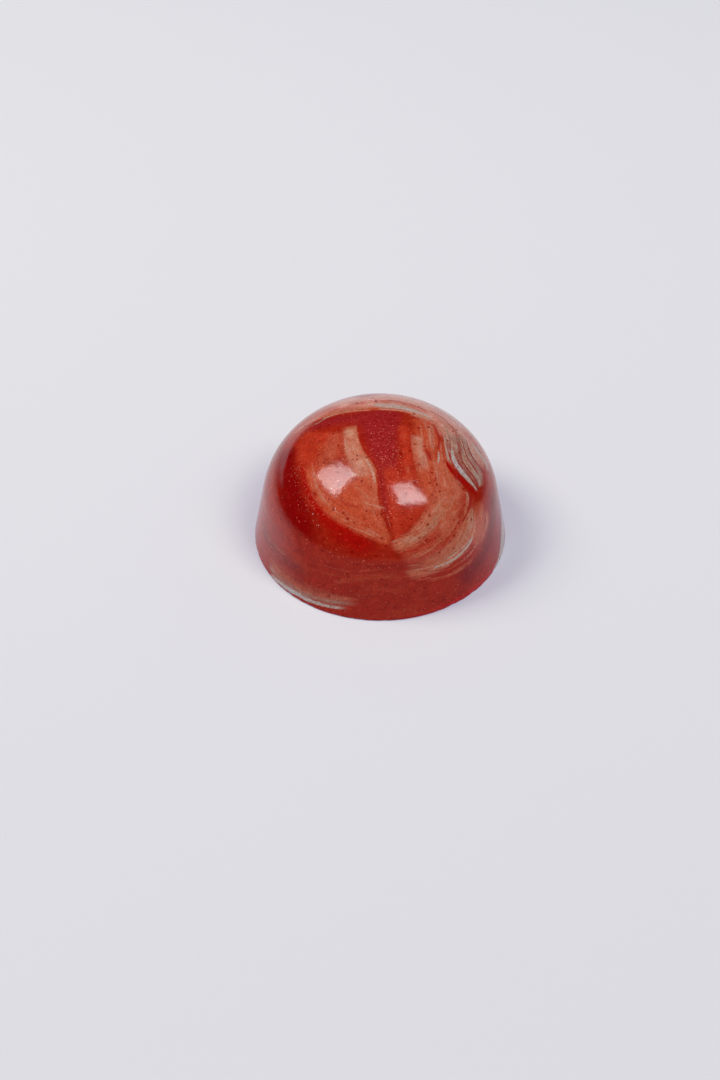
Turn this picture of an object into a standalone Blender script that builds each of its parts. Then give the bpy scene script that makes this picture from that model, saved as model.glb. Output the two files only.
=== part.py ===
"""A moulded chocolate praline: one solid turned about +Z.

Its outline has three stretches. The foot, where the mould was scraped level, is a flat
disc with a small broken edge. A short skirt rises from it and leans in at the mould's
draft angle. An elliptical dome runs on from the skirt without a corner.

Metres, +Z up. The origin is the middle of the flat foot.
"""

import math

import bmesh
import bpy

# Driving dimensions
FOOT_DIAMETER = 0.030  # across the skirt at the foot, before its edge is broken
HEIGHT = 0.017  # from the foot to the crown of the dome
DRAFT_ANGLE = math.radians(9.3)  # lean of the skirt, which lets it leave the mould
DOME_CENTRE_HEIGHT = 0.00535  # where the ellipse of the dome has its middle
EDGE_BREAK = 0.0002  # radius of the scraped edge round the foot

# How finely the turned form is cut into facets
SEGMENTS = 96  # facets round the axis
DOME_BANDS = 28  # from the top of the skirt up to the crown
SKIRT_BANDS = 4
EDGE_BANDS = 3  # round the broken edge
FOOT_BANDS = 2  # from the middle of the foot out to its edge

MERGE_DISTANCE = 0.000001  # joins the points that the turn leaves on the axis
SMOOTH_BELOW = math.radians(40)  # steeper corners stay sharp

# Finish of the coloured cocoa butter
SHELL_COLOUR = (0.40, 0.05, 0.035, 1.0)
SHELL_ROUGHNESS = 0.12


def clear_scene():
    """Removes whatever the scene holds at the start."""
    for obj in list(bpy.data.objects):
        bpy.data.objects.remove(obj, do_unlink=True)


def dome_ellipse():
    """The dome's half width and half height, and the point (r, z) where it joins the skirt.

    The skirt is the line r = foot radius - z tan(draft). The ellipse has its middle on
    the axis at DOME_CENTRE_HEIGHT and its top at HEIGHT, and it touches that line.
    """
    lean = math.tan(DRAFT_ANGLE)
    half_height = HEIGHT - DOME_CENTRE_HEIGHT
    reach = FOOT_DIAMETER / 2 - lean * DOME_CENTRE_HEIGHT
    half_width = math.sqrt(reach**2 - (lean * half_height) ** 2)
    join = (half_width**2 / reach, DOME_CENTRE_HEIGHT + lean * half_height**2 / reach)
    return half_width, half_height, join


def broken_edge():
    """Points (r, z) round the scraped edge: an arc that touches the foot and the skirt."""
    sweep = math.pi / 2 + DRAFT_ANGLE
    inset = EDGE_BREAK * (1 + math.sin(DRAFT_ANGLE)) / math.cos(DRAFT_ANGLE)
    centre_radius = FOOT_DIAMETER / 2 - inset
    points = []
    for band in range(EDGE_BANDS + 1):
        angle = sweep * band / EDGE_BANDS - math.pi / 2
        radius = centre_radius + EDGE_BREAK * math.cos(angle)
        height = EDGE_BREAK * (1 + math.sin(angle))
        points.append((radius, height))
    return points


def straight_run(start, end, bands):
    """Points (r, z) from start to end, without start itself."""
    points = []
    for band in range(1, bands + 1):
        share = band / bands
        radius = start[0] + (end[0] - start[0]) * share
        height = start[1] + (end[1] - start[1]) * share
        points.append((radius, height))
    return points


def dome_arc():
    """Points (r, z) of the dome, from just above the skirt to the crown on the axis."""
    half_width, half_height, join = dome_ellipse()
    start_angle = math.asin((join[1] - DOME_CENTRE_HEIGHT) / half_height)
    points = []
    for band in range(1, DOME_BANDS):
        angle = start_angle + (math.pi / 2 - start_angle) * band / DOME_BANDS
        radius = half_width * math.cos(angle)
        height = DOME_CENTRE_HEIGHT + half_height * math.sin(angle)
        points.append((radius, height))
    points.append((0.0, HEIGHT))
    return points


def praline_profile():
    """Points (r, z) of the whole outline, from the middle of the foot to the crown."""
    edge = broken_edge()
    join = dome_ellipse()[2]
    middle_of_foot = (0.0, 0.0)
    foot = [middle_of_foot] + straight_run(middle_of_foot, edge[0], FOOT_BANDS)
    skirt = straight_run(edge[-1], join, SKIRT_BANDS)
    return foot + edge[1:] + skirt + dome_arc()


def cocoa_butter_material():
    """Glossy red cocoa butter."""
    material = bpy.data.materials.new("red_cocoa_butter")
    material.use_nodes = True
    shader = material.node_tree.nodes["Principled BSDF"]
    shader.inputs["Base Color"].default_value = SHELL_COLOUR
    shader.inputs["Roughness"].default_value = SHELL_ROUGHNESS
    shader.inputs["Metallic"].default_value = 0.0
    return material


def build_praline():
    """The praline: its outline turned once about +Z into one closed solid."""
    shape = bmesh.new()
    points = [shape.verts.new((radius, 0.0, height)) for radius, height in praline_profile()]
    edges = [shape.edges.new(pair) for pair in zip(points, points[1:])]
    bmesh.ops.spin(
        shape,
        geom=points + edges,
        cent=(0.0, 0.0, 0.0),
        axis=(0.0, 0.0, 1.0),
        angle=2 * math.pi,
        steps=SEGMENTS,
        use_merge=True,
    )
    bmesh.ops.remove_doubles(shape, verts=shape.verts[:], dist=MERGE_DISTANCE)
    bmesh.ops.recalc_face_normals(shape, faces=shape.faces[:])

    mesh = bpy.data.meshes.new("praline")
    shape.to_mesh(mesh)
    shape.free()
    mesh.materials.append(cocoa_butter_material())
    mesh.shade_smooth()
    mesh.set_sharp_from_angle(angle=SMOOTH_BELOW)

    praline = bpy.data.objects.new("praline", mesh)
    bpy.context.scene.collection.objects.link(praline)


clear_scene()
build_praline()
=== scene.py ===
import math

import bpy
import numpy as np
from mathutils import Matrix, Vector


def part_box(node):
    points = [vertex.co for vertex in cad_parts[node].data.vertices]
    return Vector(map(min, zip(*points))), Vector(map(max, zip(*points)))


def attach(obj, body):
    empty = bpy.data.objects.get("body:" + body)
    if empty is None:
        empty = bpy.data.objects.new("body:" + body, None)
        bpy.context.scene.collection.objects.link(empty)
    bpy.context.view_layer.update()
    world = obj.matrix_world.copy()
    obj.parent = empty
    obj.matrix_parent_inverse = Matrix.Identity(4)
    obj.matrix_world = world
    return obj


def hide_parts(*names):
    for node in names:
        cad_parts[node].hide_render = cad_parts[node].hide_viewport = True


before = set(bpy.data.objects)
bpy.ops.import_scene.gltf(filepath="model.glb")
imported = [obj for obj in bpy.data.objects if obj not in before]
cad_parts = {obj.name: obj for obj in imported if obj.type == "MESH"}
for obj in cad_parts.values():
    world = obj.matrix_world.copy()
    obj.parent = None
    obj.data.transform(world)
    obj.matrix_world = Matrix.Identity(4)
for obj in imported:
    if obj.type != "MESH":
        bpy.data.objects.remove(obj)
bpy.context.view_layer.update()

footLow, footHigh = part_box("praline")

# the outline of the praline in metres, the same one as the solid has
form = {
    "height": footHigh.z,
    "draft": math.radians(9.3),  # lean of the skirt
    "domeCentre": 0.00535,  # height of the middle of the dome's ellipse
    "edgeBreak": 0.0002,  # radius of the scraped edge
    "core": 0.003,  # a height inside, from which every point of the shell is seen
}
form["edgeInset"] = form["edgeBreak"] * (1 + math.sin(form["draft"])) / math.cos(form["draft"])
form["footRadius"] = footHigh.x - form["edgeBreak"] + form["edgeInset"]


def lengthsAlong(points):
    # how far each point lies from the first, along the line through them
    return np.concatenate([[0.0], np.cumsum(np.linalg.norm(np.diff(points, axis=0), axis=1))])


def outlineOf(steps=600):
    # radius, height and length along the shell, from the crown down to the flat of the foot; the
    # dome gets all the steps, and the skirt and the broken edge fewer
    lean = math.tan(form["draft"])
    tall = form["height"] - form["domeCentre"]
    reach = form["footRadius"] - lean * form["domeCentre"]
    wide = math.sqrt(reach**2 - (lean * tall) ** 2)
    joinAngle = math.asin(lean * tall / reach)
    angles = np.linspace(math.pi / 2, joinAngle, steps)
    dome = np.stack([wide * np.cos(angles), form["domeCentre"] + tall * np.sin(angles)], 1)
    turns = np.linspace(form["draft"], -math.pi / 2, steps // 20)
    broken = np.stack([np.cos(turns), 1 + np.sin(turns)], 1) * form["edgeBreak"]
    broken[:, 0] += form["footRadius"] - form["edgeInset"]
    skirt = np.linspace(dome[-1], broken[0], steps // 4)
    points = np.concatenate([dome, skirt[1:-1], broken])
    points[0, 0] = 0.0
    return points[:, 0], points[:, 1], lengthsAlong(points)


outRadii, outHeights, outLengths = outlineOf()
outSlopes = np.stack([np.gradient(outRadii, outLengths), np.gradient(outHeights, outLengths)], 1)
outAngles = np.arctan2(outRadii, outHeights - form["core"])
shellLength = outLengths[-1]


def surfaceAt(azimuths, lengths):
    radii = np.interp(lengths, outLengths, outRadii)
    heights = np.interp(lengths, outLengths, outHeights)
    return np.stack([radii * np.cos(azimuths), radii * np.sin(azimuths), heights], -1)


def outwardAt(azimuths, lengths):
    down = np.interp(lengths, outLengths, outSlopes[:, 1])
    out = np.interp(lengths, outLengths, outSlopes[:, 0])
    size = np.hypot(down, out)
    return np.stack([-down * np.cos(azimuths), -down * np.sin(azimuths), out], -1) / size[..., None]


def chartOf(points):
    # where a point near the shell lies on it: its azimuth, and its length from the crown
    azimuths = np.arctan2(points[:, 1], points[:, 0])
    angles = np.arctan2(np.hypot(points[:, 0], points[:, 1]), points[:, 2] - form["core"])
    return azimuths, np.interp(angles, outAngles, outLengths)


# the camera, found from the praline's outline in the photo
photoView = {
    "width": 720,
    "height": 1080,
    "footPixel": (380.05, 533.2),  # the pixel of the middle of the foot
    "elevation": math.radians(43.4),
    "distance": 0.390,
    "pixelsPerMetre": 8350.0,  # at the foot
    "sensor": 36.0,  # millimetres
    "nearest": 0.01,  # nothing closer than this is drawn
    "searched": 0.026,  # how far before and behind the foot the shell is looked for
    "searchSteps": 1041,
    "shrink": (0.22, 1.1),  # limits to how short a stroke's width looks
}
photoView["focalPixels"] = photoView["pixelsPerMetre"] * photoView["distance"]
photoView["right"] = np.array([1.0, 0.0, 0.0])
photoView["up"] = np.array([0.0, math.sin(photoView["elevation"]), math.cos(photoView["elevation"])])
photoView["back"] = np.array([0.0, -math.cos(photoView["elevation"]), math.sin(photoView["elevation"])])
photoView["place"] = (
    photoView["back"] * photoView["distance"]
    - photoView["right"] * (photoView["footPixel"][0] - photoView["width"] / 2) / photoView["pixelsPerMetre"]
    + photoView["up"] * (photoView["footPixel"][1] - photoView["height"] / 2) / photoView["pixelsPerMetre"]
)


def fromPixels(pixels):
    # the points of the shell that show at these pixels of the photo
    pixels = np.asarray(pixels, float)
    aside = (pixels[:, :1] - photoView["width"] / 2) / photoView["focalPixels"]
    above = (photoView["height"] / 2 - pixels[:, 1:]) / photoView["focalPixels"]
    rays = photoView["right"] * aside + photoView["up"] * above - photoView["back"]
    rays /= np.linalg.norm(rays, axis=1, keepdims=True)
    searched = photoView["searched"]
    depths = np.linspace(-searched, searched, photoView["searchSteps"]) + photoView["distance"]
    march = photoView["place"] + rays[:, None, :] * depths[:, None]
    across = np.hypot(march[..., 0], march[..., 1])
    angles = np.arctan2(across, march[..., 2] - form["core"])
    skin = surfaceAt(np.zeros(angles.shape), np.interp(angles, outAngles, outLengths))
    gap = np.hypot(across, march[..., 2] - form["core"])
    gap -= np.hypot(skin[..., 0], skin[..., 2] - form["core"])
    inside = gap <= 0
    first = np.where(inside.any(1), inside.argmax(1), gap.argmin(1))  # past the outline, the nearest point
    return march[np.arange(len(rays)), first]


def shrinkOf(points, outward, vectors):
    # how much shorter these vectors look in the photo than they are, and 1 on the side that faces away
    def toScreen(places):
        seen = places - photoView["place"]
        depth = -(seen @ photoView["back"])
        return np.stack([seen @ photoView["right"], seen @ photoView["up"]], 1) / depth[:, None]

    step = 0.0001
    moved = toScreen(points + vectors * step) - toScreen(points)
    shrink = np.linalg.norm(moved, axis=1) * photoView["distance"] / step
    faces = (outward * (photoView["place"] - points)).sum(1) > 0
    return np.where(faces, np.clip(shrink, *photoView["shrink"]), 1.0)


def makeCamera():
    camera = bpy.data.objects.new("photoCamera", bpy.data.cameras.new("photoCamera"))
    bpy.context.scene.collection.objects.link(camera)
    camera.location = photoView["place"]
    camera.rotation_euler = (math.pi / 2 - photoView["elevation"], 0.0, 0.0)
    camera.data.sensor_fit = "VERTICAL"
    camera.data.sensor_height = photoView["sensor"]
    camera.data.sensor_width = photoView["sensor"]
    camera.data.lens = photoView["focalPixels"] * photoView["sensor"] / photoView["height"]
    camera.data.clip_start = photoView["nearest"]
    bpy.context.scene.camera = camera


# a marbling stroke is a ribbon laid over the shell along a path
pixelSize = 1 / photoView["pixelsPerMetre"]
brush = {
    "step": 0.0003,  # between the samples of a path
    "margin": 0.0004,  # looked at beyond the width of a stroke
    "jump": 0.0004,  # a greater step over one triangle: the nearest spot of the path has jumped
    "far": 9.0,  # in half widths, for a point that the stroke doesn't reach
}


def pathPoint(spot):
    # a pair is a pixel of the photo, and three numbers are a place that around() gives
    if len(spot) == 2:
        return fromPixels([spot])[0]
    azimuth = math.radians(spot[1] - 90)
    length = np.interp(-spot[2] / 1000, -outHeights, outLengths)
    return surfaceAt(np.array(azimuth), np.array(length))


def smoothPath(points):
    # a curve through all the points, and where each of its samples lies between them
    ends = np.concatenate([[2 * points[0] - points[1]], points, [2 * points[-1] - points[-2]]])
    samples, shares = [], []
    for n in range(len(points) - 1):
        before, start, end, after = ends[n : n + 4]
        count = max(3, int(np.linalg.norm(end - start) / brush["step"]))
        t = np.arange(count)[:, None] / count
        curve = 2 * start + (end - before) * t
        curve += (2 * before - 5 * start + 4 * end - after) * t**2
        curve += (3 * start - before - 3 * end + after) * t**3
        samples.append(curve / 2)
        shares.append(n + t[:, 0])
    samples.append(points[-1:])
    shares.append(np.array([len(points) - 1.0]))
    return np.concatenate(samples), np.concatenate(shares)


def ribbon(mark):
    # a stroke's middle line on the shell, with its direction, side and widths
    path = mark["path"]
    samples, shares = smoothPath(np.array([pathPoint(spot) for spot in path]))
    azimuths, lengths = chartOf(samples)
    middle = surfaceAt(azimuths, lengths)
    ahead = np.gradient(middle, axis=0)
    ahead /= np.linalg.norm(ahead, axis=1, keepdims=True) + 1e-12
    outward = outwardAt(azimuths, lengths)
    side = np.cross(outward, ahead)
    shrink = shrinkOf(middle, outward, side) if len(path[0]) == 2 else np.ones(len(middle))
    stops = np.arange(len(path))
    left, right = [np.interp(shares, stops, np.broadcast_to(wide, len(path))) for wide in mark["wide"]]
    return {
        "middle": middle, "ahead": ahead, "side": side, "run": lengthsAlong(middle),
        "left": left * pixelSize / shrink, "right": right * pixelSize / shrink, "shares": shares / stops[-1],
    }


def ease(value):
    value = np.clip(value, 0.0, 1.0)
    return value * value * (3.0 - 2.0 * value)


def measure(mark, reach=1.6):
    # for the points of the shell near a stroke: which they are, how far out in half widths, how far
    # along and across in metres, how much of the stroke is there as it starts and ends, and the share
    # of its path; reach is how many half widths out it looks
    band = ribbon(mark)
    widest = max(band["left"].max(), band["right"].max()) * reach + brush["margin"]
    low, high = band["middle"].min(0) - widest, band["middle"].max(0) + widest
    near = np.nonzero(((shellPoints > low) & (shellPoints < high)).all(1))[0]
    spots = shellPoints[near].astype(np.float32)
    middle = band["middle"].astype(np.float32)
    far = (spots**2).sum(1)[:, None] - 2 * spots @ middle.T + (middle**2).sum(1)[None]
    nearest = far.argmin(1)
    offset = shellPoints[near] - band["middle"][nearest]
    along = band["run"][nearest] + (offset * band["ahead"][nearest]).sum(1)
    across = (offset * band["side"][nearest]).sum(1)
    width = np.where(across > 0, band["left"][nearest], band["right"][nearest])
    start, end = [length * pixelSize for length in mark["ends"]]
    kept = ease(along / start) * ease((band["run"][-1] - along) / end)
    return near, across / width, along, across, kept, band["shares"][nearest]


def coverOf(mark):
    # the points that a stroke reaches, and how thick it lies on each
    near, edge, _, _, kept, _ = measure(mark)
    soft = np.where(edge > 0, *mark["soft"])
    return near, ease((1 - np.abs(edge)) / soft) * kept * mark["strength"]


# the mesh: rings of points from the crown down, six more in each ring, then the flat of the foot
shell = {
    "rings": 163,
    "fineRings": 16,  # of these, close together at the foot's edge
    "fineLength": 0.0009,
    "footRings": (0.97, 0.9, 0.78, 0.6, 0.4, 0.2),  # shares of the foot's radius
    "nicks": 46,
    "nickSeed": 7,
    "nickDepth": (0.00003, 0.00016),
    "nickWidth": (0.0002, 0.0008),
    "nickReach": 0.00045,  # how far a nick runs up the skirt
    "nickLift": 0.4,  # how far it lifts the scraped edge, as a share of its depth
}


def ringLengths():
    plain = shell["rings"] - shell["fineRings"]
    upper = np.linspace(0, shellLength - shell["fineLength"], plain + 1)
    lower = np.linspace(shellLength - shell["fineLength"], shellLength, shell["fineRings"] + 1)
    return np.concatenate([upper, lower[1:]])


def ringFaces():
    # triangles between ring k - 1 and ring k, in six equal sectors
    faces = []
    for ring in range(1, shell["rings"] + 1):
        outStart, inStart = 1 + 3 * ring * (ring - 1), 1 + 3 * (ring - 1) * (ring - 2)
        inCount = max(1, 6 * (ring - 1))
        inStart = 0 if ring == 1 else inStart
        sector = np.repeat(np.arange(6), ring)
        step = np.tile(np.arange(ring), 6)
        outer = outStart + sector * ring + step
        outerNext = outStart + (sector * ring + step + 1) % (6 * ring)
        inner = inStart + (sector * (ring - 1) + step) % inCount
        faces.append(np.stack([outer, outerNext, inner], 1))
        keep = step < ring - 1
        innerNext = inStart + (sector * (ring - 1) + step + 1) % inCount
        faces.append(np.stack([inner, outerNext, innerNext], 1)[keep])
    return np.concatenate(faces)


def nickShell(points, azimuths, lengths):
    # small chips out of the edge that was scraped; returns how bare the chocolate is at each point
    random = np.random.default_rng(shell["nickSeed"])
    bare = np.zeros(len(points))
    for _ in range(shell["nicks"]):
        centre = random.uniform(-math.pi, math.pi)
        depth = random.uniform(*shell["nickDepth"])
        width = random.uniform(*shell["nickWidth"])
        aside = (azimuths - centre + math.pi) % (2 * math.pi) - math.pi
        aside = aside * form["footRadius"] / width
        up = (shellLength - lengths) / shell["nickReach"]
        bite = ease(1 - np.hypot(aside, up)) * depth
        points[:, :2] *= (1 - bite / form["footRadius"])[:, None]
        points[:, 2] += bite * shell["nickLift"] * (lengths > shellLength - form["edgeBreak"])
        bare = np.maximum(bare, bite / shell["nickDepth"][1])
    return bare


def buildShell():
    ringsAt = ringLengths()
    azimuths, lengths = [np.zeros(1)], [np.zeros(1)]
    for ring in range(1, shell["rings"] + 1):
        azimuths.append(2 * math.pi * np.arange(6 * ring) / (6 * ring) - math.pi / 2)
        lengths.append(np.full(6 * ring, ringsAt[ring]))
    azimuths, lengths = np.concatenate(azimuths), np.concatenate(lengths)
    azimuths = (azimuths + math.pi) % (2 * math.pi) - math.pi
    points = surfaceAt(azimuths, lengths)
    bare = nickShell(points, azimuths, lengths)
    faces = ringFaces()
    shellCount, shellFaces = len(points), len(faces)

    edgeCount = 6 * shell["rings"]
    outer = np.arange(shellCount - edgeCount, shellCount)
    rim = points[outer]
    for share in shell["footRings"]:
        inner = np.arange(len(points), len(points) + edgeCount)
        ring = rim * share
        ring[:, 2] = 0.0
        points = np.concatenate([points, ring])
        nextOuter, nextInner = np.roll(outer, -1), np.roll(inner, -1)
        firstHalf = np.stack([outer, inner, nextInner], 1)
        secondHalf = np.stack([outer, nextInner, nextOuter], 1)
        faces = np.concatenate([faces, firstHalf, secondHalf])
        outer = inner
    points = np.concatenate([points, [[0.0, 0.0, 0.0]]])
    middle = np.full(edgeCount, len(points) - 1)
    faces = np.concatenate([faces, np.stack([outer, middle, np.roll(outer, -1)], 1)])
    return {
        "points": points, "faces": faces, "shellCount": shellCount, "shellFaces": shellFaces,
        "azimuths": azimuths, "lengths": lengths, "bare": bare,
    }


praline = buildShell()
print("praline mesh:", len(praline["points"]), "points,", len(praline["faces"]), "triangles")
shellPoints = praline["points"][: praline["shellCount"]]
shellFaceList = praline["faces"][: praline["shellFaces"]]


def bothSides(value):
    return value if isinstance(value, tuple) else (value, value)


def stroke(path, wide, tone=0.5, strength=1.0, soft=0.5, ends=4):
    # wide is how far the stroke reaches from its path, and soft the share of that over which it
    # fades. A pair is for the left and the right of the way that the brush went, and a list goes
    # along the path. ends are the lengths over which the stroke starts and ends. All lengths are
    # in photo pixels. tone is a pigment for a wash, and a place in the colours of its layer else
    return {
        "path": path, "wide": bothSides(wide), "tone": tone, "strength": strength,
        "soft": bothSides(soft), "ends": bothSides(ends),
    }


def around(*spots):
    # places that the photo shows at a slant or not at all, as degrees round from the front and
    # height in millimetres
    return [("round", degrees, height) for degrees, height in spots]


# pigments of the cocoa butter, and the colour of a painted glint, as linear colours
pigment = {
    "brick": (0.40, 0.017, 0.005),
    "maroon": (0.255, 0.003, 0.003),
    "deepRed": (0.27, 0.0012, 0.0008),
    "fireRed": (0.42, 0.003, 0.0008),
    "crimson": (0.36, 0.015, 0.015),
    "edgeRed": (0.56, 0.014, 0.016),
    "scarlet": (0.55, 0.039, 0.014),
    "orange": (0.47, 0.045, 0.014),
    "terracotta": (0.58, 0.080, 0.030),
    "tan": (0.58, 0.165, 0.085),
    "paleTan": (0.66, 0.29, 0.19),
    "umber": (0.62, 0.155, 0.080),
    "olive": (0.52, 0.24, 0.135),
    "rust": (0.52, 0.062, 0.030),
    "rose": (0.78, 0.30, 0.225),
    "greyTan": (0.43, 0.26, 0.19),
    "taupe": (0.36, 0.115, 0.075),
    "mauve": (0.19, 0.022, 0.022),
    "bone": (0.52, 0.39, 0.31),
    "blush": (0.68, 0.33, 0.26),
    "greyWhite": (0.57, 0.52, 0.46),
    "blueWhite": (0.55, 0.55, 0.59),
    "brown": (0.060, 0.022, 0.012),
    "fleck": (0.90, 0.27, 0.17),
    # a painted glint: the colour that a glitter piece shows where it catches a softbox
    "paintedGlint": (0.95, 0.72, 0.66),
}

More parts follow.
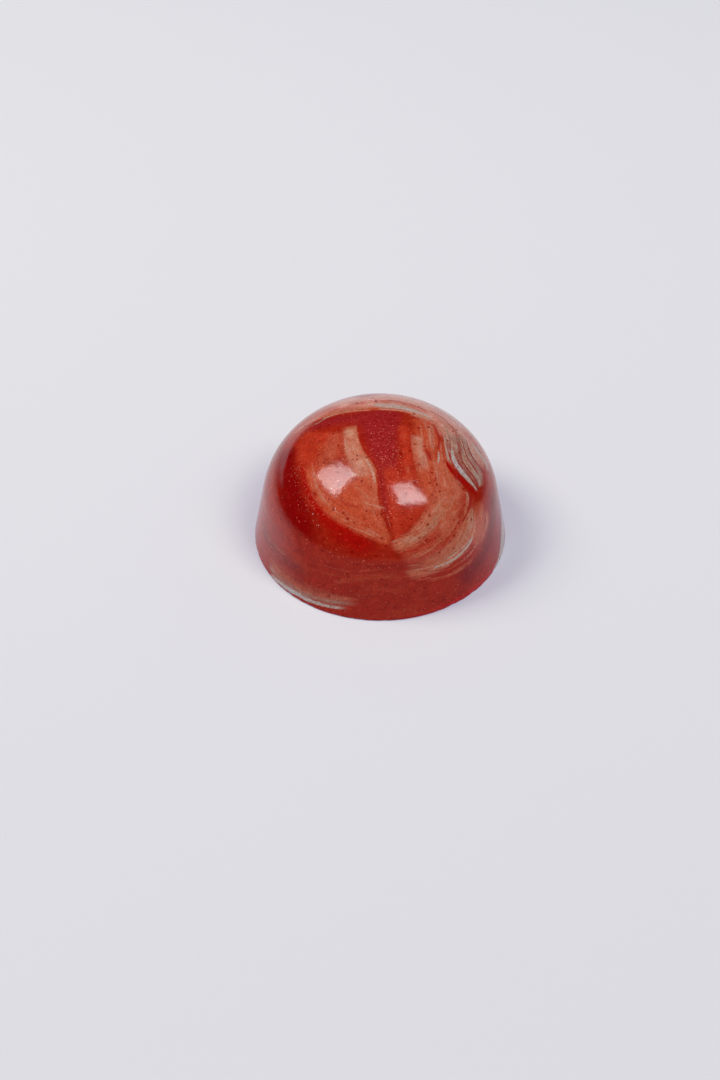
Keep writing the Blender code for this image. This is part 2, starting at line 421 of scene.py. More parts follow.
# broad fields of colour under the strokes, painted one over the other
washes = [
    stroke([(318, 428), (306, 446), (302, 468), (308, 490), (322, 510)], (40, 16), "scarlet", soft=0.7,
           ends=(8, 14)),
    stroke([(332, 436), (326, 455), (328, 478), (338, 500), (356, 518), (378, 532)], 20, "orange",
           strength=0.9, soft=0.9, ends=(16, 14)),
    stroke([(297, 436), (310, 428), (326, 422), (344, 418), (362, 416), (384, 414), (404, 416)],
           ([2, 4, 4, 4, 5, 6, 6], [4, 6, 8, 10, 12, 14, 14]), "crimson", soft=(0.5, 0.7), ends=10),
    stroke([(380, 412), (381, 428), (383, 446), (386, 468), (389, 492), (391, 520)],
           ([28, 24, 19, 15, 11, 6], [34, 26, 21, 12, 10, 7]), "crimson", ends=(3, 14)),
    stroke([(391, 462), (392, 484), (394, 508), (396, 530), (397, 542)],
           ([16, 15, 12, 9, 4], [12, 12, 9, 6, 3]), "scarlet", strength=0.9, soft=0.8, ends=(14, 5)),
    stroke([(402, 424), (405, 440), (407, 460), (409, 482), (412, 505)], 9, "scarlet", soft=0.9,
           ends=(8, 14)),
    stroke([(420, 418), (424, 436), (427, 458), (430, 482), (434, 504)],
           ([24, 26, 30, 36, 38], [12, 16, 19, 18, 14]), "terracotta", soft=(0.6, 0.9), ends=(5, 16)),
    stroke([(414, 488), (420, 502), (414, 514), (404, 526), (397, 536)],
           ([12, 12, 11, 8, 5], [20, 24, 20, 12, 6]), "scarlet", strength=0.7, soft=0.8, ends=(12, 6)),
    stroke([(294, 444), (288, 460), (291, 482), (297, 505), (310, 526), (328, 540)],
           ([5, 17, 23, 23, 17, 10], [20, 22, 28, 30, 26, 22]), "deepRed", soft=(0.85, 0.7), ends=(10, 26)),
    stroke([(302, 462), (306, 482), (314, 499), (326, 514), (342, 528), (362, 541), (382, 550)],
           ([5, 6, 8, 10, 10, 9, 7], [3, 5, 9, 17, 24, 22, 14]), "fireRed", strength=0.95, soft=(0.95, 0.8),
           ends=(12, 20)),
    stroke([(307, 462), (310, 478), (315, 492), (323, 505), (334, 516), (350, 526), (370, 536), (392, 545)],
           ([14, 20, 26, 30, 28, 22, 14, 6], [5, 6, 6, 6, 6, 5, 4, 4]), "terracotta", strength=0.9,
           soft=(0.8, 1.0), ends=(12, 8)),
    stroke([(338, 430), (334, 444), (330, 458), (320, 474)], (12, 14), "umber", strength=0.45, soft=1.0,
           ends=(10, 14)),
    stroke([(356, 424), (356.5, 431), (358.5, 440), (362, 449), (367, 457), (372, 464), (375.5, 473),
           (376, 486)], (0.9, [16, 18, 21, 25, 27, 28, 27, 24]), "tan", strength=0.9, soft=(1.0, 0.7),
           ends=(6, 16)),
    stroke([(349, 428), (350, 443), (354, 456), (360, 468), (367, 486)],
           ([8, 10, 12, 14, 10], [7, 8, 10, 12, 9]), "paleTan", strength=0.85, soft=1.0, ends=(6, 20)),
    stroke([(374.5, 470), (376.5, 484), (377.5, 498), (380, 512), (385, 526), (392, 541)],
           (0.9, [30, 52, 54, 44, 28, 10]), "terracotta", strength=0.9, soft=(1.0, 0.6), ends=(12, 5)),
    stroke([(375, 474), (376.5, 488), (378, 502), (382, 518)], (0.9, [24, 24, 20, 14]), "tan",
           strength=0.55, soft=(1.0, 0.9), ends=(8, 16)),
    stroke([(398, 558), (422, 550), (444, 533), (460, 512), (466, 490)],
           ([12, 18, 20, 20, 16], [12, 20, 22, 20, 14]), "rust", strength=0.95, soft=0.6, ends=12),
    stroke([(436, 536), (446, 522), (452, 506), (454, 488), (450, 470)],
           ([12, 13, 14, 13, 8], [12, 13, 14, 12, 8]), "umber", strength=0.75, soft=0.8, ends=(10, 12)),
    stroke([(390, 547), (406, 541), (420, 531), (432, 518), (443, 505), (458, 494)],
           ([6, 8, 10, 12, 14, 10], [7, 10, 12, 13, 14, 12]), "umber", strength=0.85, soft=0.55,
           ends=(8, 10)),
    stroke([(404, 573), (424, 571), (442, 564), (458, 553), (468, 540), (472, 524), (472, 508)],
           ([10, 14, 18, 20, 20, 18, 12], [6, 7, 6, 5, 4, 4, 6]), "umber", strength=0.85, soft=(0.8, 0.6),
           ends=10),
    stroke([(432, 552), (446, 541), (456, 527), (460, 512)], 5, "rust", strength=0.7, soft=0.9, ends=8),
    stroke([(422, 488), (430, 500), (434, 512)], 10, "terracotta", strength=0.6, soft=1.0, ends=10),
    stroke([(398, 546), (414, 538), (428, 526), (440, 512), (452, 500)], (8, 9), "olive", strength=0.65,
           soft=1.0, ends=(10, 12)),
    stroke([(424, 566), (444, 557), (460, 542), (470, 522), (470, 504)], (9, 6), "olive", strength=0.7,
           soft=1.0, ends=(10, 12)),
    stroke([(476, 500), (480, 516), (479, 532), (473, 548)], 8, "umber", strength=0.7, soft=0.9, ends=10),
    stroke([(490, 482), (493, 508), (490, 534), (481, 556), (467, 573), (450, 588)],
           ([8, 8, 8, 12, 18, 18], [6, 6, 7, 10, 13, 12]), "maroon", soft=0.9, ends=(20, 24)),
    stroke(around((118, 0.7), (96, 0.6), (76, 0.5), (58, 0.5), (40, 0.5), (22, 0.4), (4, 0.3)), (4, 5),
           "edgeRed", strength=0.85, soft=0.9, ends=50),
    stroke([(268, 558), (282, 576), (300, 589), (324, 598), (356, 603)],
           ([9, 12, 13, 12, 8], [5, 5, 5, 5, 4]), "taupe", strength=0.6, soft=1.0, ends=(12, 24)),
    stroke([(262, 520), (268, 538), (280, 554), (296, 566), (314, 574)], (10, 12), "mauve", strength=0.55,
           soft=1.0, ends=(16, 24)),
    stroke([(268, 564), (280, 579), (296, 590), (316, 598.5), (340, 603), (362, 604)],
           ([5, 6, 6, 6, 5, 4], [3, 3, 3, 3, 3, 3]), "greyTan", strength=0.55, soft=1.0, ends=(8, 22)),
    stroke([(289, 441), (296, 433), (304, 427), (314, 421.5), (325, 417.5), (338, 414), (352, 411.6),
           (366, 410.4), (382, 410), (398, 411), (412, 414), (424, 418.5), (436, 426)],
           ([7, 9, 11, 12, 14, 15, 16, 17, 17, 17, 16, 15, 12], 1.0), "terracotta", strength=0.95,
           soft=(0.35, 1.0), ends=(10, 5)),
    stroke([(330, 409), (350, 404), (372, 401), (396, 401), (418, 406), (438, 415), (456, 430), (468, 447),
           (476, 466)], ([10, 11, 11, 11, 10, 10, 12, 14, 12], [5, 6, 7, 8, 9, 12, 18, 18, 10]), "rose",
           strength=0.95, ends=(14, 12)),
    stroke([(452, 430), (459, 442), (465, 454), (471, 465), (477, 476), (481, 488)],
           ([16, 20, 18, 14, 9, 3], [9, 12, 12, 10, 7, 3]), "greyTan", strength=0.85, soft=(0.7, 0.5),
           ends=(12, 6)),
    stroke([(418, 400), (436, 407), (452, 418), (466, 432), (477, 448), (486, 466)],
           ([7, 8, 9, 9, 8, 6], [4, 5, 6, 6, 6, 5]), "blush", strength=0.85, soft=0.8, ends=(14, 12)),
    stroke([(296, 424), (316, 411), (338, 402), (360, 397), (384, 395), (406, 397), (426, 402)], (6, 5),
           "blush", strength=0.8, soft=0.9, ends=(14, 12)),
    stroke([(416, 434), (419, 451), (425, 474)], (9, 8), "paleTan", strength=0.9, soft=0.9, ends=(6, 14)),
    stroke([(437, 452), (443, 472), (441, 496), (430, 512)], (15, 16), "umber", strength=0.6, soft=1.0,
           ends=14),
    stroke([(445, 424), (447.5, 438), (450, 456)], (5, 4), "greyTan", strength=0.75, soft=0.9, ends=(6, 8)),
    stroke([(431, 424), (432, 438), (433, 452)], 3, "greyTan", strength=0.5, soft=0.9, ends=(6, 8)),
    stroke([(441, 462), (447, 476), (456, 488), (464, 498)], (6, 9), "umber", strength=0.6, soft=0.9,
           ends=8),
    # the far side
    stroke(around((-92, 8), (-112, 9), (-132, 8), (-150, 5.5)), (38, 34), "deepRed", soft=0.8,
           ends=(20, 30)),
    stroke(around((-96, 14), (-126, 13), (-156, 12), (-184, 12.5)), (26, 22), "orange", soft=0.9, ends=24),
    stroke(around((96, 12.5), (122, 10.5), (148, 8.8), (172, 9.2), (190, 11)), (22, 30), "terracotta",
           strength=0.85, soft=0.6, ends=(16, 20)),
    stroke(around((98, 5.5), (124, 4.2), (150, 3.6), (176, 4.4), (198, 6)), (14, 12), "umber", strength=0.8,
           soft=0.7, ends=(18, 24)),
    stroke(around((176, 15), (196, 13), (212, 10.5), (222, 8)), (24, 20), "crimson", soft=0.6,
           ends=(20, 16)),
    stroke(around((208, 13.6), (218, 11.4), (224, 8.8), (224, 6)), (0.9, 40), "terracotta", strength=0.9,
           soft=(1.0, 0.6), ends=(8, 20)),
]


def paintWashes():
    colours = np.tile(np.array(pigment["brick"]), (len(praline["points"]), 1))
    for mark in washes:
        near, cover = coverOf(mark)
        cover = cover[:, None]
        colours[near] = colours[near] * (1 - cover) + np.array(pigment[mark["tone"]]) * cover
    return colours


# veils of terracotta and tan, with the hairs of the brush in them
veils = [
    # the sail left of the middle, and its lower sweep
    stroke([(355, 430), (357.5, 440), (361, 449), (366, 457), (371, 464.5), (374.5, 473), (375.5, 485)],
           (0.8, 5), 0.7, strength=0.7, soft=(0.8, 0.9), ends=(5, 8)),
    stroke([(348, 434), (351, 447), (356, 458), (362, 468), (366, 480)], 6, 0.58, strength=0.5, soft=1.0,
           ends=(8, 12)),
    stroke([(364, 474), (369, 488), (371, 502), (375, 516), (382, 529), (390, 541)], (7, 9), 0.5,
           strength=0.5, soft=0.9, ends=(10, 6)),
    stroke([(346, 474), (350, 488), (357, 500), (366, 512)], 9, 0.5, strength=0.4, soft=1.0, ends=10),
    stroke([(312, 470), (316, 486), (323, 499), (333, 509), (347, 517), (362, 523), (378, 528)], 6, 0.55,
           strength=0.55, soft=0.9, ends=(12, 10)),
    stroke([(326, 509), (340, 518), (355, 525), (369, 532), (384, 539)], 4, 0.6, strength=0.55, soft=0.8,
           ends=(10, 6)),
    stroke([(344, 497), (357, 503), (370, 508), (384, 511)], 3.5, 0.6, strength=0.45, soft=1.0,
           ends=(8, 6)),
    stroke([(327, 470), (324, 484), (330, 497)], 7, 0.42, strength=0.4, soft=1.0, ends=10),
    # behind the crown
    stroke([(292, 435), (303, 426), (316, 418.5), (331, 413.5), (346, 410), (360, 408.3), (374, 407)],
           (3, 2.6), 0.85, strength=0.65, soft=0.8, ends=(12, 10)),
    stroke([(304, 418), (318, 411), (334, 405.5), (352, 401.5), (370, 399)], 3, 0.85, strength=0.55,
           soft=0.8, ends=(12, 8)),
    stroke([(376, 398), (392, 398.5), (410, 402), (426, 408), (440, 416), (452, 427), (462, 440)], (3.5, 4),
           0.95, strength=0.75, soft=0.8, ends=(8, 10)),
    stroke([(408, 412), (421, 416), (433, 422), (443, 430), (449, 440)], (3, 4), 0.9, strength=0.7,
           soft=0.8, ends=8),
    stroke([(452, 424), (463, 434), (472, 446), (480, 459), (486, 472)], 4.5, 0.95, strength=0.75, soft=0.8,
           ends=8),
    # right of the middle, coming down from the top
    stroke([(413.5, 438), (415.5, 451), (418.5, 465), (423, 480)], (6, 3.6), 0.64, strength=0.8,
           soft=(0.9, 0.5), ends=(6, 12)),
    stroke([(431, 424), (432, 440), (433, 455), (437, 470), (442, 486)], 4, 0.5, strength=0.6, soft=0.9,
           ends=(8, 12)),
    stroke([(421, 430), (424, 443), (428, 457), (432, 472)], 3.5, 0.36, strength=0.45, soft=0.9,
           ends=(8, 12)),
    stroke([(445, 468), (449, 484), (450, 500), (445, 514), (436, 526)], 7, 0.5, strength=0.6, soft=0.9,
           ends=(10, 12)),
    stroke([(407, 462), (409, 476), (414, 490)], 4, 0.45, strength=0.5, soft=0.9, ends=(8, 10)),
    # arcs of the swirl, from low left to high right
    stroke([(389, 547), (403, 542), (415, 534), (425, 524), (434, 513), (444, 503), (456, 494)], 5, 0.7,
           strength=0.85, soft=0.7, ends=(8, 10)),
    stroke([(395, 551), (410, 547), (424, 539), (436, 528), (447, 516), (456, 505), (463, 495)], 4, 0.55,
           strength=0.7, soft=0.8, ends=8),
    stroke([(407, 558), (420, 554), (432, 547), (444, 537), (453, 526), (459, 514)], (3.4, 3.6), 0.62,
           strength=0.65, soft=0.7, ends=8),
    stroke([(418, 566), (433, 561), (447, 552), (457, 541), (463, 529), (466, 517), (467, 504)], 5, 0.6,
           strength=0.75, soft=0.8, ends=(10, 8)),
    stroke([(402, 572), (418, 571), (434, 567), (449, 561), (461, 552), (469, 541), (473, 528), (472, 513)],
           (3.5, 4), 0.74, strength=0.85, soft=0.7, ends=(10, 8)),
    stroke([(410, 578), (430, 579), (446, 576), (460, 569), (472, 559), (480, 547)], 2.5, 0.5, strength=0.6,
           soft=0.8, ends=10),
    stroke([(436, 572), (448, 569), (459, 563), (468, 556), (475, 548)], 1.6, 0.42, strength=0.5, soft=0.8,
           ends=8),
    stroke([(477, 500), (481, 512), (481, 526), (478, 540)], 3.5, 0.42, strength=0.5, soft=1.0, ends=8),
    stroke([(486, 508), (487.5, 521), (485, 533), (480, 546)], 2.5, 0.62, strength=0.65, soft=0.8, ends=8),
    # round the skirt
    stroke([(332, 583), (350, 580), (366, 578), (384, 577), (400, 576), (416, 577)], 3.5, 0.3, strength=0.5,
           soft=0.9, ends=10),
    stroke([(268, 556), (280, 573), (296, 585), (316, 594), (342, 599), (366, 600)], (5, 4), 0.52,
           strength=0.5, soft=1.0, ends=(10, 24)),
    stroke([(352, 591), (372, 589), (392, 590), (414, 588)], 4, 0.12, strength=0.4, soft=1.0, ends=12),
    stroke([(368, 560), (390, 559), (410, 561)], 3, 0.18, strength=0.4, soft=1.0, ends=12),
    # the far side
    stroke(around((98, 13.8), (116, 12), (136, 10.2), (156, 9.4), (176, 9.8), (192, 11.4)), (9, 10), 0.66,
           strength=0.85, soft=0.7, ends=(12, 14)),
    stroke(around((96, 10.6), (114, 9), (134, 7.4), (156, 6.8), (178, 7.6)), 8, 0.56, strength=0.8,
           soft=0.7, ends=(10, 14)),
    stroke(around((92, 7.4), (112, 5.6), (134, 4.4), (158, 4.4), (182, 5.4)), 7, 0.6, strength=0.7,
           soft=0.8, ends=(12, 14)),
    stroke(around((138, 2.2), (164, 1.8), (190, 2.6), (212, 2.2)), 5, 0.36, strength=0.5, soft=0.9,
           ends=(12, 14)),
    stroke(around((207, 13.6), (217, 11.4), (223, 8.8), (223, 6.2)), (1.0, 10), 0.66, strength=0.8,
           soft=(0.8, 0.9), ends=(6, 12)),
    stroke(around((196, 12.6), (205, 10.2), (210, 7.6), (206, 5.4)), 8, 0.5, strength=0.6, soft=0.9,
           ends=(10, 12)),
    stroke(around((234, 5.4), (250, 3.8), (268, 3.2), (284, 3.8)), 6, 0.4, strength=0.6, soft=0.9, ends=12),
    stroke(around((246, 12.4), (258, 10), (266, 7.4)), 7, 0.4, strength=0.5, soft=0.9, ends=12),
    stroke(around((150, 14.6), (172, 13.6), (190, 14.2)), 6, 0.55, strength=0.6, soft=0.9, ends=10),
]

# white and grey streaks
streaks = [
    # behind the crown
    stroke([(370, 404.3), (380, 405.2), (390, 406), (400, 407.3), (410, 409.6), (419, 412.5), (427, 416),
           (435, 421)],
           ([1.5, 3.0, 3.4, 3.0, 2.4, 2.0, 1.6, 1.0], [1.0, 2.8, 3.0, 2.4, 2.0, 1.6, 1.2, 0.6]), 0.62,
           strength=0.9, soft=0.6, ends=8),
    stroke([(376, 409.2), (390, 409.6), (403, 411), (414, 413.6), (424, 417.6), (430, 421)], 0.7, 0.3,
           strength=0.8, soft=0.7, ends=(6, 5)),
    stroke([(383, 396.5), (398, 397), (412, 400), (426, 405), (438, 411), (448, 419), (457, 429)], 1.4,
           0.32, strength=0.6, soft=0.8, ends=8),
    stroke([(428, 411), (440, 417.5), (450, 426), (458, 435), (463, 444)], 1.4, 0.25, strength=0.6,
           soft=0.8, ends=6),
    stroke([(439, 426), (446, 434), (450, 442)], 1.8, 0.32, strength=0.7, soft=0.8, ends=5),
    stroke([(319, 420), (331, 416), (344, 412.8), (358, 410.9), (372, 410)], (0.9, 1.0), 0.2, strength=0.75,
           soft=0.8, ends=(8, 6)),
    stroke([(346, 403.5), (357, 401), (369, 399.6)], 1.0, 0.1, strength=0.45, soft=0.9, ends=5),
    stroke([(373, 397.4), (379, 397.8), (386, 399.2)], 1.1, 0.5, strength=0.7, soft=0.8, ends=3),
    # the bundle at the upper right
    stroke([(451.5, 439), (452, 449), (453, 457), (456, 464.5), (461, 471), (468, 479), (474, 486),
           (477.5, 492)],
           ([2.2, 2.4, 3.4, 4.4, 4.2, 3.4, 2.4, 0.9], [2.2, 2.4, 2.8, 3.2, 3.2, 2.7, 1.9, 0.9]),
           [0.42, 0.5, 0.75, 0.85, 0.78, 0.66, 0.56, 0.5], strength=0.95, soft=0.8, ends=(8, 4)),
    stroke([(444.5, 436), (445.5, 446), (447, 454), (450, 462.5)], 1.6, 0.48, strength=0.85, soft=0.6,
           ends=(5, 4)),
    stroke([(459, 435), (462, 444), (465, 452), (469, 461), (474, 470), (478, 479), (480, 488)], 2.2, 0.42,
           strength=0.85, soft=0.7, ends=(6, 5)),
    stroke([(463, 434), (467, 443), (471, 452), (476, 461)], 1.7, 0.5, strength=0.85, soft=0.6,
           ends=(6, 5)),
    stroke([(463, 459), (467, 466), (472, 473), (477, 481)], 1.5, 0.36, strength=0.8, soft=0.7,
           ends=(5, 4)),
    stroke([(469, 440), (476, 449), (481, 456), (486, 464), (488.5, 473)], 2.3, 0.45, strength=0.8,
           soft=0.8, ends=(8, 6)),
    stroke([(455, 428), (460, 437), (464, 446)], 1.6, 0.38, strength=0.75, soft=0.8, ends=(6, 5)),
    stroke([(447, 430), (451, 438), (453, 446)], 1.5, 0.35, strength=0.7, soft=0.8, ends=5),
    stroke([(468, 462), (473, 470), (477, 479)], 1.3, 0.42, strength=0.8, soft=0.7),
    stroke([(440, 440), (441, 452), (443, 464)], 1.4, 0.2, strength=0.6, soft=0.9, ends=(5, 6)),
    stroke([(446, 466), (448, 476), (451, 486)], 1.3, 0.1, strength=0.5, soft=0.9, ends=(5, 6)),
    stroke([(418, 446), (421, 458), (423, 470)], 1.2, 0.1, strength=0.5, soft=0.9, ends=(5, 6)),
    stroke([(429, 424), (430, 438), (431.5, 452)], 2.4, 0.16, strength=0.7, soft=0.9, ends=(5, 8)),
    stroke([(443, 421), (446, 431), (447, 441)], 2.2, 0.34, strength=0.75, soft=0.9, ends=5),
    stroke([(420, 424), (421.5, 434), (423, 444)], 1.8, 0.1, strength=0.5, soft=0.9, ends=(5, 6)),
    stroke([(434, 462), (436, 474), (439, 486)], 1.6, 0.06, strength=0.5, soft=0.9, ends=(5, 8)),
    stroke([(475, 444), (481, 451), (487, 460)], 0.9, 0.5, strength=0.6, soft=0.8, ends=(5, 4)),
    # right of the middle
    stroke([(438.6, 451), (438.6, 457), (438, 464)], 1.3, 0.6, strength=0.85, soft=0.7, ends=3),
    stroke([(423.5, 453), (426.5, 461), (428, 471)], 1.1, 0.28, strength=0.7, soft=0.8),
    stroke([(413, 441), (415, 449), (417, 457)], (2.4, 2.2), 0.12, strength=0.55, soft=0.9, ends=(4, 5)),
    # in the sail
    stroke([(344.6, 437), (345, 443), (346.4, 450), (350.6, 457.5)], (2.2, 1.5), 0.28, strength=0.75,
           soft=1.0, ends=6),
    stroke([(364, 455), (368, 461.5), (372, 468.5), (374.8, 477), (375.4, 486)], (0.9, [1.6, 3, 4, 4, 3]),
           0.3, strength=0.8, soft=(0.8, 1.0), ends=(5, 6)),
    stroke([(355.4, 429), (357, 437), (360, 446)], 0.8, 0.05, strength=0.6, soft=0.8),
    stroke([(362, 502), (371, 504.6), (379, 507), (387, 509)], (2.4, 2.0), 0.16, strength=0.75, soft=1.0,
           ends=6),
    stroke([(352, 486), (359, 489), (365, 494), (369, 500)], 2.0, 0.02, strength=0.45, soft=1.0, ends=5),
    stroke([(312, 462), (313, 470), (315, 478)], 1.8, 0.02, strength=0.5, soft=1.0, ends=(4, 5)),
    stroke([(315, 482), (320, 495), (328, 505)], 2.2, 0.05, strength=0.45, soft=0.9, ends=(4, 8)),
    stroke([(358, 529), (366, 533), (374, 537)], 1.5, 0.1, strength=0.6, soft=0.8),
    stroke([(349, 459), (356, 466), (360, 474)], 0.9, 0.0, strength=0.4, soft=0.9),
    # in the swirl
    stroke([(431, 567.6), (442, 565), (451, 561), (459, 555), (466, 548), (471, 541), (473, 534)],
           [1.0, 1.2, 1.4, 1.5, 1.3, 1.1, 0.8], 0.58, strength=0.95, soft=0.6, ends=(6, 5)),
    stroke([(445, 560), (453, 555), (460, 549.6), (467, 543.5), (471.5, 537)], 0.9, 0.58, strength=0.85,
           soft=0.7, ends=5),
    stroke([(468, 512), (470, 521), (469, 531)], 1.8, 0.25, strength=0.6, soft=0.9),
    stroke([(466, 490), (467.5, 500), (465, 510)], 2.0, 0.28, strength=0.7, soft=0.9, ends=(4, 5)),
    stroke([(485, 511), (487, 521), (485, 531)], 1.8, 0.12, strength=0.6, soft=0.9),
    stroke([(482, 537), (485, 530), (487, 523)], 0.6, 0.5, strength=0.7, soft=0.8, ends=3),
    stroke([(415, 541), (421, 536)], 1.8, 0.04, strength=0.5, soft=0.9, ends=3),
    stroke([(403, 545), (413, 542.5)], 1.5, 0.04, strength=0.5, soft=0.9, ends=3),
    stroke([(424, 519), (430, 514)], 1.8, 0.04, strength=0.4, soft=0.9, ends=3),
    stroke([(411, 556), (421, 552.4), (430, 547.6)], 1.1, 0.06, strength=0.5, soft=0.9),
    # at the foot
    stroke([(270, 574), (279, 582.5), (290, 590.5), (300, 596), (311, 601.3), (323, 605), (336, 607.8),
           (350, 608.4)],
           ([3.0, 4.2, 4.6, 4.2, 3.6, 3.2, 3.4, 3.6], [1.2, 1.8, 2.2, 2.2, 2.0, 1.8, 1.6, 1.2]),
           [0.6, 0.74, 0.8, 0.8, 0.76, 0.66, 0.5, 0.42], strength=0.95, soft=(0.9, 0.7), ends=(6, 16)),
    stroke(around((62, 0.25), (70, 0.7), (78, 2.0), (85, 3.4), (94, 4.6), (106, 5.4), (122, 5.6),
           (140, 5.0)), (1.0, [5, 14, 26, 30, 28, 22, 14, 6]), [0.7, 0.7, 0.75, 0.75, 0.7, 0.62, 0.55, 0.5],
           strength=0.9, soft=(0.8, 0.6), ends=(4, 12)),
    # the far side
    stroke(around((118, 12), (134, 10), (152, 9.2), (170, 9.3)), 2.6, 0.8, strength=0.9, soft=0.6,
           ends=(16, 8)),
    stroke(around((114, 11.2), (122, 10.2), (140, 8.8), (160, 8.4)), 1.5, 0.5, strength=0.8, soft=0.7,
           ends=8),
    stroke(around((112, 8.6), (132, 7.2), (154, 6.8), (174, 7.5)), (2.2, 2.0), 0.66, strength=0.85,
           soft=0.7, ends=8),
    stroke(around((118, 4.9), (140, 3.9), (162, 4), (182, 5)), 1.3, 0.4, strength=0.7, soft=0.8, ends=8),
    stroke(around((209, 13), (217, 11), (222, 8.6)), (0.8, 2.2), 0.2, strength=0.75, soft=0.8, ends=(5, 6)),
    stroke(around((200, 11.2), (207, 9.2), (209, 7)), 1.2, 0.1, strength=0.6, soft=0.8, ends=(5, 6)),
    stroke(around((152, 1.3), (176, 0.9), (202, 1.2), (222, 0.9)), (2.4, 2.2), 0.6, strength=0.85, soft=0.7,
           ends=(8, 10)),
    stroke(around((262, 8.6), (270, 6.4), (272, 4.4)), 1.1, 0.34, strength=0.6, soft=0.8, ends=(5, 6)),
    stroke(around((154, 14.4), (172, 13.6), (188, 14)), 1.4, 0.45, strength=0.7, soft=0.8, ends=6),
]

# red threads and gaps over the streaks
threads = [
    stroke([(387, 400.6), (396, 400.9), (408, 403.6), (418, 407.2), (428, 411.8)], 0.9, 0.6, strength=0.65,
           soft=0.8),
    stroke([(429, 410.5), (439, 416), (449, 424), (456, 432), (461, 441)], 0.7, 0.3, strength=0.65,
           soft=0.7),
    stroke([(444, 420), (452, 427), (458.5, 436)], 0.5, 0.2, strength=0.6, soft=0.7),
    stroke([(445, 459), (449, 466), (454, 472), (460, 478), (466, 484), (472, 490), (478.5, 497)],
           ([0.8, 2.0, 2.6, 2.8, 2.8, 2.2, 0.8], [0.8, 2.8, 4.2, 4.8, 4.4, 3.0, 0.8]), 0.95, soft=0.6),
    stroke([(457.5, 441), (459.5, 450), (461, 458), (463, 465)], (1.5, 1.8), 0.75, strength=0.6, soft=0.7),
    stroke([(461, 438), (464.5, 450), (468, 458.5), (473, 466.5), (479, 476)], 0.9, 0.5, strength=0.95,
           soft=0.7),
    stroke([(465, 438), (469.5, 451), (474, 459.5), (480, 467.5), (487, 476)], 1.1, 0.5, strength=0.95,
           soft=0.7),
    stroke([(461, 460), (468, 470), (474, 477.5), (479, 488)], 1.0, 0.5, strength=0.95, soft=0.7),
    stroke([(457, 461), (464, 471), (471, 479), (477, 489)], 0.6, 0.3, strength=0.9, soft=0.7),
    stroke([(473, 441), (480, 451), (487, 462)], 0.7, 0.5, strength=0.8, soft=0.7),
    stroke([(455, 432), (459, 443), (462.5, 453)], 0.6, 0.3, strength=0.8, soft=0.7),
    stroke([(448.5, 434), (450, 444), (450.5, 453)], 0.7, 0.4, strength=0.8, soft=0.7),
    stroke([(432.5, 423), (437, 432), (439.4, 441), (438, 450.5)], (2.4, 2.6), 0.8, strength=0.7, soft=0.8),
    stroke([(423.5, 448), (428, 454), (431.5, 462)], 2.8, 0.75, strength=0.75, soft=0.8),
    stroke([(471.3, 494), (470, 504), (467, 513), (461.5, 523)], 1.6, 0.6, strength=0.85, soft=0.7),
    stroke([(281, 590), (292, 598.6), (304, 605.6), (317, 610.8), (331, 614.6)], 0.8, 0.2, strength=0.8,
           soft=0.7),
    stroke([(458, 552.6), (464, 547), (470, 540)], 0.4, 0.1, strength=0.5, soft=0.7),
    stroke([(421, 571), (434, 570.6), (445, 568.4)], 0.9, 0.3, strength=0.6, soft=0.8),
    stroke([(399, 551.8), (413, 550.2), (425, 544.5), (436, 536)], 1.1, 0.75, strength=0.5, soft=0.8),
    stroke([(340, 501.5), (350, 505.5), (361, 508)], 2.6, 0.85, strength=0.45, soft=0.9),
    stroke([(470, 590), (456, 599), (440, 606.4)], 2.2, 0.9, strength=0.5, soft=0.9),
    # the far side
    stroke(around((103, 12.8), (119, 10.9), (137, 9.4), (156, 8.8)), 0.9, 0.5, strength=0.8, soft=0.6),
    stroke(around((110, 9.4), (130, 7.9), (151, 7.5), (172, 8.2)), 1.1, 0.6, strength=0.8, soft=0.6),
    stroke(around((116, 5.6), (138, 4.6), (160, 4.7)), 0.7, 0.4, strength=0.7, soft=0.6),
    stroke(around((212, 12.6), (220, 10.4), (226, 8)), (2.6, 1.0), 0.85, strength=0.85, soft=0.7),
    stroke(around((246, 9), (255, 6.6), (258, 4.4)), 1.1, 0.5, strength=0.6, soft=0.8),
    stroke(around((150, 2.2), (174, 1.9), (198, 2.3)), 0.7, 0.4, strength=0.7, soft=0.7),
]

# a fine hair of the brush, in photo pixels where nothing else is said
hair = {
    "seed": 5,
    "long": (0.12, 0.34),  # shares of the path that it follows
    "spots": 4,  # points along it
    "wide": (0.35, 1.0),
    "strength": (0.4, 1.0),
    "soft": 1.0,
    "ends": (5, 8),
    "scatter": 0.5,  # how far to the side it lies, as a share of the spread
    "slant": 0.8,
    "rise": 0.12,  # millimetres of height for a pixel, where the path is given in degrees
}


